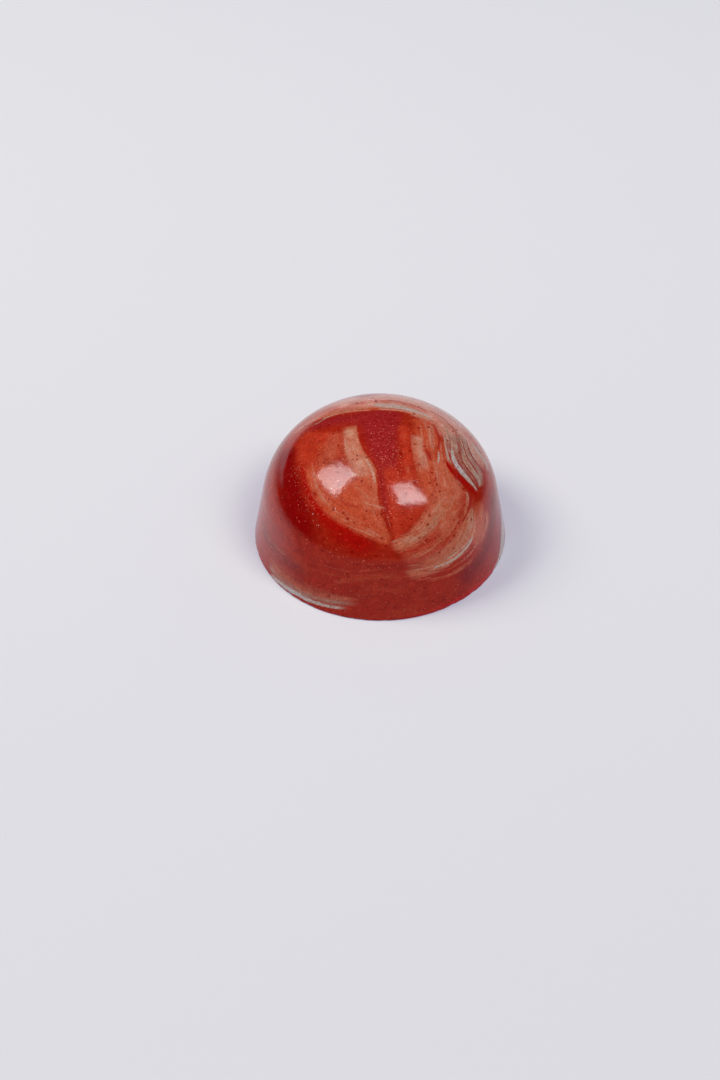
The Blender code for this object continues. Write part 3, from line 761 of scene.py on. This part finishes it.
def wispsAlong(path, spread, count, tones, strength):
    # hairs of the brush that follow a path, at chance distances to its sides
    spots = np.array([spot[-2:] for spot in path])
    shortest, longest = hair["long"]
    found = []
    for _ in range(count):
        start = chance.uniform(0.0, 1.0 - shortest)
        end = min(1.0, start + chance.uniform(shortest, longest))
        stops = np.linspace(start, end, hair["spots"]) * (len(path) - 1)
        line = np.stack([np.interp(stops, np.arange(len(path)), spots[:, axis]) for axis in (0, 1)], 1)
        ahead = line[-1] - line[0]
        aside = np.array([0, hair["rise"]])
        if len(path[0]) == 2:
            aside = np.array([-ahead[1], ahead[0]]) / np.linalg.norm(ahead)
        away = chance.normal(0.0, hair["scatter"]) * spread
        slant = np.linspace(-1, 1, hair["spots"])[:, None] * chance.normal(0.0, hair["slant"])
        line = line + aside * (away + slant)
        width = chance.uniform(*hair["wide"])
        line = [(*path[0][:-2], *spot) for spot in line.tolist()]
        tone = chance.uniform(*tones)
        strong = strength * chance.uniform(*hair["strength"])
        found.append(stroke(line, width, tone, strong, hair["soft"], hair["ends"]))
    return found


# fine hairs over everything, as path, spread to each side, number, tones and strength
chance = np.random.default_rng(hair["seed"])
wisps = []
for spots, spread, count, tones, strength in [
    # the swirl and its lower arc
    ([(392, 549), (414, 541), (432, 528), (445, 512), (456, 495)], 13, 60, (0.0, 1.0), 0.8),
    ([(404, 573), (428, 570), (449, 560), (465, 545), (473, 525), (474, 506)], 10, 50, (0.1, 1.0), 0.8),
    # down from the top, right of the middle
    ([(424, 418), (430, 440), (436, 466), (445, 492)], 18, 60, (0.0, 1.0), 0.75),
    # the sail and its sweep
    ([(350, 430), (356, 450), (366, 472), (372, 500), (386, 534)], 11, 34, (0.3, 0.9), 0.6),
    ([(312, 466), (318, 490), (334, 508), (358, 522), (386, 536)], 9, 34, (0.3, 0.9), 0.6),
    ([(318, 434), (316, 455), (322, 476)], 14, 16, (0.2, 0.6), 0.4),
    # behind the crown, and the bundle
    ([(300, 428), (330, 412), (364, 404), (400, 403), (430, 411), (454, 428), (474, 456)],
     6, 50, (0.2, 1.0), 0.7),
    ([(448, 430), (457, 446), (466, 462), (477, 482)], 16, 40, (0.0, 1.0), 0.85),
    # the skirt
    ([(276, 560), (300, 574), (340, 584), (380, 583), (420, 576)], 16, 30, (0.2, 0.5), 0.28),
    # the far side
    (around((96, 12), (122, 10), (148, 8.6), (174, 9.2), (192, 11)), 22, 90, (0.0, 1.0), 0.8),
    (around((92, 5.6), (120, 4.4), (150, 3.8), (180, 4.8), (204, 6)), 18, 70, (0.0, 1.0), 0.8),
    (around((206, 13), (218, 11), (224, 8), (222, 5)), 10, 30, (0.2, 0.9), 0.6),
    (around((226, 4), (250, 3.4), (284, 3.2), (310, 4)), 12, 40, (0.1, 0.7), 0.5),
]:
    wisps += wispsAlong(spots, spread, count, tones, strength)


def layStrokes(marks, reach=1.5):
    # each triangle takes the stroke that it is nearest to, so that nothing blends across two strokes
    count = len(shellFaceList)
    best = np.full(count, reach)
    place = np.zeros((count, 3, 3))
    place[:, :, 0] = brush["far"]
    look = np.zeros((count, 3, 3))
    for mark in marks:
        near, edge, along, across, kept, shares = measure(mark, reach)
        full = np.full(len(shellPoints), brush["far"])
        full[near] = edge
        sideways = np.zeros(len(shellPoints))
        sideways[near] = across
        nearness = np.abs(full)[shellFaceList].mean(1)
        won = np.nonzero(nearness < best)[0]
        apart = sideways[shellFaceList[won]]
        won = won[apart.max(1) - apart.min(1) < brush["jump"]]  # no triangle over a jump of its path
        best[won] = nearness[won]
        tones = np.broadcast_to(mark["tone"], len(mark["path"]))
        values = np.zeros((len(shellPoints), 6))
        values[near, 0] = edge
        values[near, 1] = along * 1000
        values[near, 2] = across * 1000
        values[near, 3] = kept * mark["strength"]
        values[near, 4] = np.interp(shares, np.linspace(0, 1, len(tones)), tones)
        values[near, 5] = np.where(edge > 0, *mark["soft"])
        corners = values[shellFaceList[won]]
        place[won], look[won] = corners[:, :, :3], corners[:, :, 3:]
    return place.reshape(-1, 3), look.reshape(-1, 3)


def pointAttribute(mesh, name, values):
    attribute = mesh.attributes.new(name, "FLOAT", "POINT")
    attribute.data.foreach_set("value", values.astype(np.float32))


def cornerAttribute(mesh, name, values):
    full = np.zeros((len(mesh.loops), 3), np.float32)
    full[: len(values)] = values
    attribute = mesh.attributes.new(name, "FLOAT_VECTOR", "CORNER")
    attribute.data.foreach_set("vector", full.ravel())


# where glitter shows thick, in photo pixels: path, width and amount; real glitter, thickened as painted
# glints where the flecks face the softboxes
glitterAndGlints = [
    stroke([(384, 418), (386, 440), (390, 470), (394, 500), (398, 525)], 26, strength=1.1, soft=0.8,
           ends=(8, 10)),
    stroke([(300, 455), (298, 480), (306, 505), (322, 524)], (24, 14), strength=0.75, soft=0.9, ends=12),
    stroke([(322, 436), (328, 462), (342, 490)], 22, strength=0.75, soft=0.9, ends=12),
    stroke([(420, 465), (438, 488), (432, 506)], 22, strength=0.9, soft=0.9, ends=12),
    stroke([(320, 548), (360, 560), (400, 562)], (12, 10), strength=0.4, soft=0.9, ends=12),
]

# single glitter pieces that catch the light, painted into the colour as glints of light, and what each of
# them is drawn with
paintedGlints = [
    (331.5, 488), (335, 486), (338, 480.5), (334, 470), (319, 476.5), (355, 475.5), (349, 480.5),
    (328, 468.5), (343, 459), (313, 513), (318, 526), (335, 508.5), (403, 465), (417, 481.5), (407.5, 484.5),
]
paintedGlint = {"half": 1.2, "wide": 2, "strength": 3.6, "soft": 0.9, "ends": 1}
for x, y in paintedGlints:
    path = [(x - paintedGlint["half"], y), (x + paintedGlint["half"], y)]
    glitterAndGlints.append(
        stroke(path, paintedGlint["wide"], strength=paintedGlint["strength"], soft=paintedGlint["soft"], ends=paintedGlint["ends"])
    )

# where dark specks lie in the pigment
speckled = [
    stroke([(420, 470), (440, 490), (456, 500)], (26, 22), soft=0.8, ends=10),
    stroke([(396, 536), (422, 530), (444, 538), (466, 524)], 18, soft=0.8, ends=10),
    stroke([(340, 500), (360, 520), (382, 530)], 14, strength=0.7, soft=0.9, ends=8),
    stroke([(430, 420), (448, 440), (462, 460)], 12, strength=0.6, soft=0.9, ends=8),
    stroke(around((110, 10), (140, 8), (170, 9)), 30, strength=0.9, soft=0.8, ends=14),
]


def paintAmount(marks, ground):
    amount = np.full(len(praline["points"]), ground)
    for mark in marks:
        near, cover = coverOf(mark)
        amount[near] = np.maximum(amount[near], cover)
    return amount


class Bench:
    # short names for the shader nodes that the materials below are made of
    def __init__(self, name):
        self.material = bpy.data.materials.new(name)
        self.material.use_nodes = True
        self.nodes = self.material.node_tree.nodes
        self.links = self.material.node_tree.links
        self.shader = self.nodes["Principled BSDF"]

    def put(self, socket, value):
        if isinstance(value, bpy.types.NodeSocket):
            self.links.new(value, socket)
        elif isinstance(value, tuple) and len(value) == 3 and len(socket.default_value) == 4:
            socket.default_value = (*value, 1.0)
        else:
            socket.default_value = value

    def math(self, operation, first, second=0.0):
        node = self.nodes.new("ShaderNodeMath")
        node.operation = operation
        self.put(node.inputs[0], first)
        self.put(node.inputs[1], second)
        return node.outputs[0]

    def times(self, first, second):
        return self.math("MULTIPLY", first, second)

    def plus(self, first, second):
        return self.math("ADD", first, second)

    def minus(self, first, second):
        return self.math("SUBTRACT", first, second)

    def between(self, low, high, share):
        return self.plus(low, self.times(share, high - low))

    def mix(self, share, first, second, way="MIX"):
        node = self.nodes.new("ShaderNodeMix")
        node.data_type = "RGBA"
        node.blend_type = way
        self.put(node.inputs["Factor"], share)
        self.put(node.inputs[6], first)
        self.put(node.inputs[7], second)
        return node.outputs[2]

    def smooth(self, value, low, high):
        node = self.nodes.new("ShaderNodeMapRange")
        node.interpolation_type = "SMOOTHSTEP"
        self.put(node.inputs["Value"], value)
        self.put(node.inputs["From Min"], low)
        self.put(node.inputs["From Max"], high)
        return node.outputs["Result"]

    def attribute(self, name):
        node = self.nodes.new("ShaderNodeAttribute")
        node.attribute_name = name
        return node.outputs

    def split(self, vector):
        node = self.nodes.new("ShaderNodeSeparateXYZ")
        self.put(node.inputs[0], vector)
        return node.outputs

    def join(self, x, y, z):
        node = self.nodes.new("ShaderNodeCombineXYZ")
        for socket, value in zip(node.inputs, (x, y, z)):
            self.put(socket, value)
        return node.outputs[0]

    def scaled(self, vector, factors):
        node = self.nodes.new("ShaderNodeVectorMath")
        node.operation = "MULTIPLY"
        self.put(node.inputs[0], vector)
        self.put(node.inputs[1], factors)
        return node.outputs[0]

    def place(self):
        node = self.nodes.new("ShaderNodeTexCoord")
        return node.outputs["Object"]

    def noise(self, vector, scale=1.0, detail=2.0, roughness=0.5):
        node = self.nodes.new("ShaderNodeTexNoise")
        self.put(node.inputs["Vector"], vector)
        node.inputs["Scale"].default_value = scale
        node.inputs["Detail"].default_value = detail
        node.inputs["Roughness"].default_value = roughness
        return node.outputs[0]

    def cells(self, vector, scale):
        # how far off the middle of the nearest cell is, and two numbers that are the cell's own
        node = self.nodes.new("ShaderNodeTexVoronoi")
        self.put(node.inputs["Vector"], vector)
        node.inputs["Scale"].default_value = scale
        one, other, _ = self.split(node.outputs["Color"])
        return node.outputs["Distance"], one, other

    def ramp(self, value, stops):
        node = self.nodes.new("ShaderNodeValToRGB")
        self.put(node.inputs[0], value)
        while len(node.color_ramp.elements) < len(stops):
            node.color_ramp.elements.new(0.5)
        for element, (position, colour) in zip(node.color_ramp.elements, stops):
            element.position = position
            element.color = (*colour, 1.0)
        return node.outputs[0]

    def bump(self, height, strength, distance, normal=None):
        node = self.nodes.new("ShaderNodeBump")
        node.inputs["Strength"].default_value = strength
        node.inputs["Distance"].default_value = distance
        self.put(node.inputs["Height"], height)
        if normal is not None:
            self.put(node.inputs["Normal"], normal)
        return node.outputs[0]


# how each layer of strokes looks: stops of its colour, hairs per millimetre across and along, how
# much the hairs part the stroke and shift its tone, how mottled it is, and how ragged its edge
layers = {
    "veil": {
        "strokes": veils,
        "stops": [(0.0, "scarlet"), (0.28, "orange"), (0.5, "terracotta"), (0.75, "tan"), (1.0, "paleTan")],
        "hairs": (3.6, 0.30), "part": 0.75, "shift": 1.5, "mottled": 0.9, "ragged": 0.9,
    },
    "streak": {
        "strokes": streaks,
        "stops": [(0.0, "tan"), (0.25, "paleTan"), (0.5, "bone"), (0.75, "greyWhite"), (1.0, "blueWhite")],
        "hairs": (6.5, 0.35), "part": 0.5, "shift": 0.8, "mottled": 0.4, "ragged": 0.45,
    },
    "wisp": {
        "strokes": wisps,
        "stops": [(0.0, "deepRed"), (0.25, "rust"), (0.5, "tan"), (0.8, "paleTan"), (1.0, "bone")],
        "hairs": (7.0, 0.5), "part": 0.5, "shift": 0.6, "mottled": 0.6, "ragged": 0.8,
    },
    "thread": {
        "strokes": threads,
        "stops": [(0.0, "deepRed"), (0.5, "crimson"), (1.0, "fireRed")],
        "hairs": (5.0, 0.5), "part": 0.3, "shift": 0.3, "mottled": 0.2, "ragged": 0.6,
    },
}

# what the layers have in common, with sizes per metre
paint = {
    "hairDetail": (3.0, 0.6),
    "hairsByTone": 37.0,  # strokes of other tones get other hairs
    "parted": (0.0, -0.16),
    "wobbleScale": 2600.0,
    "mottleScale": 1700.0,
    "mottleDetail": (4.0, 0.65),
    "leastSoft": 0.05,
}


def addLayer(bench, name, below):
    look = layers[name]
    edge, along, across = bench.split(bench.attribute(name + "Place")["Vector"])
    strength, tone, soft = bench.split(bench.attribute(name + "Look")["Vector"])
    perAcross, perAlong = look["hairs"]
    hairPlace = bench.join(
        bench.times(across, perAcross),
        bench.times(along, perAlong),
        bench.times(tone, paint["hairsByTone"]),
    )
    hairs = bench.minus(bench.noise(hairPlace, 1.0, *paint["hairDetail"]), 0.5)
    wobble = bench.minus(bench.noise(bench.place(), paint["wobbleScale"]), 0.5)
    mottle = bench.minus(bench.noise(bench.place(), paint["mottleScale"], *paint["mottleDetail"]), 0.5)

    # the stroke thins out at its ragged edge and where its hairs part
    inside = bench.minus(1.0, bench.math("ABSOLUTE", edge))
    inside = bench.plus(inside, bench.times(bench.plus(wobble, hairs), look["ragged"]))
    soft = bench.math("MAXIMUM", soft, paint["leastSoft"])
    cover = bench.smooth(bench.math("DIVIDE", inside, soft), 0.0, 1.0)
    parted = bench.times(bench.smooth(hairs, *paint["parted"]), look["part"])
    cover = bench.times(bench.times(cover, bench.minus(1.0, parted)), strength)

    shade = bench.plus(tone, bench.times(hairs, look["shift"]))
    shade = bench.plus(shade, bench.times(mottle, look["mottled"]))
    colour = bench.ramp(shade, [(stop, pigment[colourName]) for stop, colourName in look["stops"]])
    return bench.mix(cover, below, colour)


# the coloured cocoa butter, with scales per metre and pairs as the two ends of a range
cocoaButter = {
    "roughness": (0.09, 0.16),
    "roughScale": 700.0,
    "roughDetail": 3.0,
    "ior": 1.46,
    "rippleScale": 900.0,
    "rippleDepth": (0.10, 0.0002),  # strength and metres
    "cloudScale": 420.0,
    "cloudDetail": (4.0, 0.6),  # detail and roughness of the pattern, here and below
    "cloudDrawn": (0.45, 0.45, 1.6),  # clouds are drawn out round the axis
    "cloudOrange": (0.52, 0.72),
    "cloudRed": (0.48, 0.30),
    "cloudShare": 0.35,
    "mottleScale": 900.0,
    "mottleDetail": (5.0, 0.75),
    "mottlePale": (0.50, 0.68),
    "mottleDark": (0.50, 0.34),
    "paleTint": (1.12, 1.5, 1.6),
    "darkTint": (0.86, 0.64, 0.58),
    "grainScale": 5200.0,
    "grainDetail": (3.0, 0.7),
    "grainRange": (0.36, 0.66),
    "grainLift": (0.80, 1.18),  # the colour is multiplied by this
    "bareRange": (0.15, 0.5),
    "bareRoughness": 0.4,
}

# dark specks and glitter, each in its own cell of a pattern
specks = {
    "scale": 1800.0,
    "radius": 0.43,  # of the largest, in cells
    "edge": (-0.02, 0.05),
    "strength": 0.7,
    "sunk": (0.15, 0.00005),  # strength and metres
    "ground": 0.2,  # share of the cells that hold one where no stroke says otherwise
}
glitter = {
    "ground": 0.10,
    "fineScale": 6200.0,
    "fineShare": 0.42,  # of the cells, where glitter lies thickest
    "fineEdge": (0.46, 0.16),
    "fineShine": (0.16, 1.11),
    "shinePower": 2.6,  # few flecks shine fully
    "paintedGlintRange": (1.1, 1.9),  # amounts of glitter that turn a fleck into a painted glint
    "paintedGlintShine": 1.2,
    "coarseScale": 3600.0,
    "coarseShare": 0.35,
    "coarseEdge": (0.30, 0.12),
    "coarseShine": (0.3, 0.9),
}


def cocoaButterMaterial():
    bench = Bench("marbledCocoaButter")
    place = bench.place()
    colour = bench.attribute("wash")["Color"]

    # soft clouds, then patches of a finer mottle
    drawn = bench.scaled(place, cocoaButter["cloudDrawn"])
    cloud = bench.noise(drawn, cocoaButter["cloudScale"], *cocoaButter["cloudDetail"])
    for cloudRange, tint in ((cocoaButter["cloudOrange"], "orange"), (cocoaButter["cloudRed"], "deepRed")):
        clouded = bench.mix(cocoaButter["cloudShare"], colour, pigment[tint])
        colour = bench.mix(bench.smooth(cloud, *cloudRange), colour, clouded)
    mottle = bench.noise(place, cocoaButter["mottleScale"], *cocoaButter["mottleDetail"])
    pale = bench.mix(1.0, colour, cocoaButter["paleTint"], "MULTIPLY")
    dark = bench.mix(1.0, colour, cocoaButter["darkTint"], "MULTIPLY")
    colour = bench.mix(bench.smooth(mottle, *cocoaButter["mottlePale"]), colour, pale)
    colour = bench.mix(bench.smooth(mottle, *cocoaButter["mottleDark"]), colour, dark)
    for name in layers:
        colour = addLayer(bench, name, colour)
    grain = bench.noise(place, cocoaButter["grainScale"], *cocoaButter["grainDetail"])
    lift = bench.between(*cocoaButter["grainLift"], bench.smooth(grain, *cocoaButter["grainRange"]))
    colour = bench.mix(1.0, colour, bench.join(lift, lift, lift), "MULTIPLY")

    away, lot, size = bench.cells(place, specks["scale"])
    radius = bench.times(size, specks["radius"])
    speckHere = bench.math("LESS_THAN", lot, bench.attribute("specks")["Fac"])
    speck = bench.times(bench.smooth(bench.minus(radius, away), *specks["edge"]), speckHere)
    colour = bench.mix(bench.times(speck, specks["strength"]), colour, pigment["deepRed"])

    # fine flecks under the surface, painted glints among them, and coarser ones over them
    # the glitter amount is partly painted glint: it is thickest where the flecks face the softboxes
    amount = bench.attribute("glitterAndGlint")["Fac"]
    thick = bench.times(amount, glitter["fineShare"])
    away, lot, shine = bench.cells(place, glitter["fineScale"])
    fleck = bench.times(bench.smooth(away, *glitter["fineEdge"]), bench.math("LESS_THAN", lot, thick))
    # painted glint: where the amount runs highest, a fleck takes the glint colour and shines fully
    paintedGlintShare = bench.smooth(amount, *glitter["paintedGlintRange"])
    shine = bench.math("POWER", shine, glitter["shinePower"])
    shine = bench.math("MAXIMUM", shine, bench.times(paintedGlintShare, glitter["paintedGlintShine"]))
    fleck = bench.times(fleck, bench.between(*glitter["fineShine"], shine))
    colour = bench.mix(fleck, colour, bench.mix(paintedGlintShare, pigment["fleck"], pigment["paintedGlint"]))
    away, lot, shine = bench.cells(place, glitter["coarseScale"])
    coarseHere = bench.math("LESS_THAN", lot, bench.times(thick, glitter["coarseShare"]))
    coarse = bench.times(bench.smooth(away, *glitter["coarseEdge"]), coarseHere)
    coarse = bench.times(coarse, bench.between(*glitter["coarseShine"], shine))
    colour = bench.mix(coarse, colour, pigment["fleck"])

    # bare chocolate in the nicks of the edge
    bare = bench.smooth(bench.attribute("bare")["Fac"], *cocoaButter["bareRange"])
    colour = bench.mix(bare, colour, pigment["brown"])

    worn = bench.noise(place, cocoaButter["roughScale"], cocoaButter["roughDetail"])
    roughness = bench.between(*cocoaButter["roughness"], worn)
    roughness = bench.plus(roughness, bench.times(bare, cocoaButter["bareRoughness"]))
    bench.put(bench.shader.inputs["Base Color"], colour)
    bench.put(bench.shader.inputs["Roughness"], roughness)
    bench.shader.inputs["IOR"].default_value = cocoaButter["ior"]
    ripple = bench.bump(bench.noise(place, cocoaButter["rippleScale"]), *cocoaButter["rippleDepth"])
    normal = bench.bump(bench.times(speck, -1.0), *specks["sunk"], ripple)
    bench.put(bench.shader.inputs["Normal"], normal)
    return bench.material


# the plain chocolate of the foot, with scales per metre
scrapedFoot = {
    "lineScale": 260.0,
    "lineDetail": (4.0, 0.65),
    "lineDrawn": (1.0, 14.0, 1.0),
    "lineDepth": (0.5, 0.0001),  # strength and metres
    "blotchScale": 380.0,
    "blotchDetail": 3.0,
    "dark": (0.070, 0.026, 0.014),
    "pale": (0.115, 0.046, 0.026),
    "scratch": (0.16, 0.072, 0.044),
    "scratched": (0.5, 0.75),
    "scratchShare": 0.5,
    "roughness": (0.35, 0.6),
}


def scrapedFootMaterial():
    # plain chocolate, with the fine lines that the scraper leaves
    bench = Bench("scrapedChocolate")
    place = bench.place()
    drawn = bench.scaled(place, scrapedFoot["lineDrawn"])
    lines = bench.noise(drawn, scrapedFoot["lineScale"], *scrapedFoot["lineDetail"])
    blotch = bench.noise(place, scrapedFoot["blotchScale"], scrapedFoot["blotchDetail"])
    colour = bench.mix(blotch, scrapedFoot["dark"], scrapedFoot["pale"])
    scratched = bench.times(bench.smooth(lines, *scrapedFoot["scratched"]), scrapedFoot["scratchShare"])
    bench.put(bench.shader.inputs["Base Color"], bench.mix(scratched, colour, scrapedFoot["scratch"]))
    bench.put(bench.shader.inputs["Roughness"], bench.between(*scrapedFoot["roughness"], lines))
    bench.put(bench.shader.inputs["Normal"], bench.bump(lines, *scrapedFoot["lineDepth"]))
    return bench.material


# the map that the finishes are baked to: the shell as one disc with the crown in its middle, and the
# foot as a small disc in a corner, in shares of the map
bakeMap = {"shellMiddle": 0.5, "shellRadius": 0.49, "footMiddle": 0.075, "footRadius": 0.065}


def layOutMap(mesh):
    azimuths, lengths = praline["azimuths"], praline["lengths"]
    shares = lengths / shellLength * bakeMap["shellRadius"]
    spots = np.zeros((len(praline["points"]), 2))
    turned = np.stack([np.cos(azimuths), np.sin(azimuths)], 1)
    spots[: len(shares)] = bakeMap["shellMiddle"] + shares[:, None] * turned
    corners = praline["faces"].ravel()
    laid = spots[corners]
    under = np.arange(len(corners)) >= praline["shellFaces"] * 3
    onFoot = praline["points"][corners[under]][:, :2] / form["footRadius"]
    laid[under] = bakeMap["footMiddle"] + onFoot * bakeMap["footRadius"]
    layer = mesh.uv_layers.new(name="OFBake")
    layer.data.foreach_set("uv", laid.astype(np.float32).ravel())


def buildPraline():
    mesh = bpy.data.meshes.new("marbledPraline")
    mesh.from_pydata(praline["points"].tolist(), [], praline["faces"].tolist())
    layOutMap(mesh)
    colours = paintWashes()
    colours = np.concatenate([colours, np.ones((len(colours), 1))], 1)
    wash = mesh.attributes.new("wash", "FLOAT_COLOR", "POINT")
    wash.data.foreach_set("color", colours.astype(np.float32).ravel())
    for name, look in layers.items():
        place, drawn = layStrokes(look["strokes"])
        cornerAttribute(mesh, name + "Place", place)
        cornerAttribute(mesh, name + "Look", drawn)
        print("laid", len(look["strokes"]), "strokes of the layer", name)
    bare = np.zeros(len(praline["points"]))
    bare[: len(praline["bare"])] = praline["bare"]
    pointAttribute(mesh, "bare", bare)
    pointAttribute(mesh, "glitterAndGlint", paintAmount(glitterAndGlints, glitter["ground"]))
    pointAttribute(mesh, "specks", paintAmount(speckled, specks["ground"]))
    mesh.materials.append(cocoaButterMaterial())
    mesh.materials.append(scrapedFootMaterial())
    under = np.zeros(len(mesh.polygons), np.int32)
    under[praline["shellFaces"]:] = 1
    mesh.polygons.foreach_set("material_index", under)
    mesh.shade_smooth()
    mesh.update()
    piece = bpy.data.objects.new("marbledPraline", mesh)
    bpy.context.scene.collection.objects.link(piece)
    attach(piece, "root")
    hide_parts("praline")


# two softboxes, each laid out from the corners of its mirror image in the photo, with the share of
# its light at each corner
softboxes = {
    "left": {
        "corners": [(314.9, 474.5), (339.8, 462.4), (357.2, 474.5), (334.4, 496.4)],
        "shares": (0.55, 0.66, 1.08, 1.25),
    },
    "right": {
        "corners": [(389.6, 486.0), (410.0, 483.2), (428.6, 502.2), (400.2, 504.3)],
        "shares": (0.65, 0.85, 1.25, 1.20),
    },
    "distance": 0.6,
    "strength": 9.6,
    "rows": 8,  # squares along each side, for an even change of the light
}


def mirrorPoint(pixel):
    # where the ray of this pixel goes on to, once the shell has mirrored it
    hit = fromPixels([pixel])
    azimuths, lengths = chartOf(hit)
    outward = outwardAt(azimuths, lengths)[0]
    ray = hit[0] - photoView["place"]
    ray /= np.linalg.norm(ray)
    return hit[0], ray - 2 * (ray @ outward) * outward


def makeSoftbox(side):
    box = softboxes[side]
    mirrored = [mirrorPoint(pixel) for pixel in box["corners"]]
    aim = sum(direction for _, direction in mirrored)
    aim /= np.linalg.norm(aim)
    distance = softboxes["distance"]
    corners = np.array([start + ray * (distance - start @ aim) / (ray @ aim) for start, ray in mirrored])
    rows = softboxes["rows"]
    points, shares, faces = [], [], []
    for i in range(rows + 1):
        for j in range(rows + 1):
            u, v = i / rows, j / rows
            weights = np.array([(1 - u) * (1 - v), u * (1 - v), u * v, (1 - u) * v])
            points.append(weights @ corners)
            shares.append(weights @ np.array(box["shares"]))
            if i < rows and j < rows:
                first = i * (rows + 1) + j
                faces.append((first, first + 1, first + rows + 2, first + rows + 1))
    mesh = bpy.data.meshes.new(side + "Softbox")
    mesh.from_pydata(points, [], faces)
    glowShare = mesh.attributes.new("glowShare", "FLOAT", "POINT")
    glowShare.data.foreach_set("value", shares)
    softbox = bpy.data.objects.new(side + "Softbox", mesh)
    bpy.context.scene.collection.objects.link(softbox)
    bench = Bench(side + "SoftboxCloth")
    glow = bench.nodes.new("ShaderNodeEmission")
    strength = bench.times(bench.attribute("glowShare")["Fac"], softboxes["strength"])
    bench.put(glow.inputs["Strength"], strength)
    bench.links.new(glow.outputs[0], bench.nodes["Material Output"].inputs["Surface"])
    mesh.materials.append(bench.material)
    softbox.visible_camera = False


studio = {
    "floorHalf": 0.6,
    # painted shade: the floor's colour darkens towards the front
    "floorNear": (0.630, 0.615, 0.515),  # at the bottom of the photo
    "floorFar": (0.735, 0.725, 0.600),
    "floorChange": (-0.09, 0.12),  # from near to far, in y
    "floorGlow": (0.145, 0.158, 0.280),  # keeps its shadows pale
    "floorRoughness": 0.6,
    "floorSpecular": 0.1,
    "mirrored": (0.03, 0.085),  # the gloss mirrors the floor less and less between these distances
    "behind": (0.05, 0.0),  # but in full this far behind the praline
    "behindLean": 0.4,  # and the less of it the farther to the side
    "front": (-0.004, -0.016),  # and less of it in front of the praline, in y
    "frontDim": 0.7,
    "unmirrored": (0.02, 0.02, 0.022, 1.0),
    "fill": (0.195, 0.185, 0.225, 1.0),  # soft light from all round, which the gloss doesn't mirror
    "room": (0.012, 0.012, 0.014, 1.0),  # what the gloss mirrors above the floor
    "backdrop": (0.76, 0.76, 0.80, 1.0),
}


def makeFloor():
    half = studio["floorHalf"]
    mesh = bpy.data.meshes.new("floor")
    corners = [(-half, -half, 0), (half, -half, 0), (half, half, 0), (-half, half, 0)]
    mesh.from_pydata(corners, [], [(0, 1, 2, 3)])
    floor = bpy.data.objects.new("floor", mesh)
    bpy.context.scene.collection.objects.link(floor)
    bench = Bench("paleFloor")
    x, y, _ = bench.split(bench.place())
    # painted shade: darker towards the front, lighter farther back
    colour = bench.mix(bench.smooth(y, *studio["floorChange"]), studio["floorNear"], studio["floorFar"])
    bench.put(bench.shader.inputs["Base Color"], colour)
    bench.put(bench.shader.inputs["Roughness"], studio["floorRoughness"])
    bench.put(bench.shader.inputs["Specular IOR Level"], studio["floorSpecular"])
    bench.put(bench.shader.inputs["Emission Color"], studio["floorGlow"])
    bench.put(bench.shader.inputs["Emission Strength"], 1.0)
    away = bench.math("SQRT", bench.plus(bench.math("POWER", x, 2.0), bench.math("POWER", y, 2.0)))
    faded = bench.smooth(away, *studio["mirrored"])
    behind = bench.minus(y, bench.times(bench.math("ABSOLUTE", x), studio["behindLean"]))
    faded = bench.times(faded, bench.smooth(behind, *studio["behind"]))
    front = bench.times(bench.smooth(y, *studio["front"]), studio["frontDim"])
    paths = bench.nodes.new("ShaderNodeLightPath")
    share = bench.times(bench.math("MAXIMUM", faded, front), paths.outputs["Is Glossy Ray"])
    clear = bench.nodes.new("ShaderNodeBsdfTransparent")
    clear.inputs[0].default_value = studio["unmirrored"]
    blend = bench.nodes.new("ShaderNodeMixShader")
    bench.put(blend.inputs[0], share)
    bench.links.new(bench.shader.outputs[0], blend.inputs[1])
    bench.links.new(clear.outputs[0], blend.inputs[2])
    bench.links.new(blend.outputs[0], bench.nodes["Material Output"].inputs["Surface"])
    mesh.materials.append(bench.material)


def makeWorld():
    world = bpy.data.worlds.new("studio")
    world.use_nodes = True
    bpy.context.scene.world = world
    nodes, links = world.node_tree.nodes, world.node_tree.links
    paths = nodes.new("ShaderNodeLightPath")
    byFill = nodes.new("ShaderNodeMix")
    byFill.data_type = "RGBA"
    byFill.inputs[6].default_value = studio["room"]
    byFill.inputs[7].default_value = studio["fill"]
    links.new(paths.outputs["Is Diffuse Ray"], byFill.inputs["Factor"])
    byCamera = nodes.new("ShaderNodeMix")
    byCamera.data_type = "RGBA"
    byCamera.inputs[7].default_value = studio["backdrop"]
    links.new(byFill.outputs[2], byCamera.inputs[6])
    links.new(paths.outputs["Is Camera Ray"], byCamera.inputs["Factor"])
    links.new(byCamera.outputs[2], nodes["Background"].inputs["Color"])


makeCamera()
buildPraline()
print("praline built")
makeSoftbox("left")
makeSoftbox("right")
makeFloor()
makeWorld()
bpy.context.scene.view_settings.view_transform = "Standard"
print("studio set")

bpy.context.view_layer.update()
